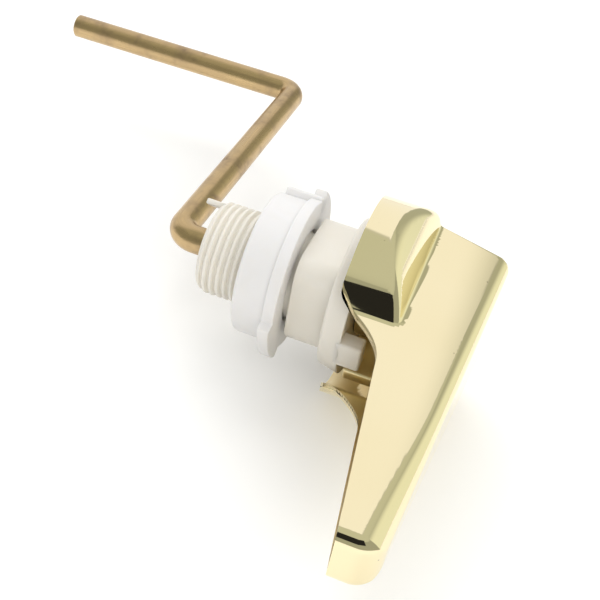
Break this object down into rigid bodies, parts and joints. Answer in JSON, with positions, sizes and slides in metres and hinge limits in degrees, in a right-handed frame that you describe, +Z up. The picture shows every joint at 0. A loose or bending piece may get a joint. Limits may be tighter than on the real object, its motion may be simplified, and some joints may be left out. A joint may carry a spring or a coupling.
{
  "type": "toilet tank trip lever",
  "caption": "Side-mount toilet tank trip lever: a tapered handle turns a bent rod arm through a threaded bushing that a lock nut clamps in the tank wall.",
  "frame": {"origin": "on the shaft axis, in the plane of the bushing flange's wall seat", "axes": "+Y along the shaft into the tank, -X towards the handle's tip, +Z up"},
  "size_m": [0.149, 0.1409, 0.0448],
  "materials": {
    "handle": "polished and lacquered brass plate",
    "rod_arm": "drawn brass, dulled",
    "bushing": "moulded ivory nylon",
    "lock_nut": "moulded white plastic",
    "set_screw": "plain steel"
  },
  "bodies": {
    "bushing": {"bushing": "bushing"},
    "lever": {"handle": "handle", "rod_arm": "rod_arm", "set_screw": "set_screw"},
    "nut": {"lock_nut": "lock_nut"}
  },
  "joints": [
    {"name": "handle_turn", "type": "hinge", "parent": "bushing", "child": "lever", "pos_m": [0, 0, 0], "axis": [0, -1, 0], "range_deg": [0, 20]},
    {"name": "nut_travel", "type": "slide", "parent": "bushing", "child": "nut", "axis": [0, 1, 0], "range_m": [-0.0008, 0.0105]}
  ]
}
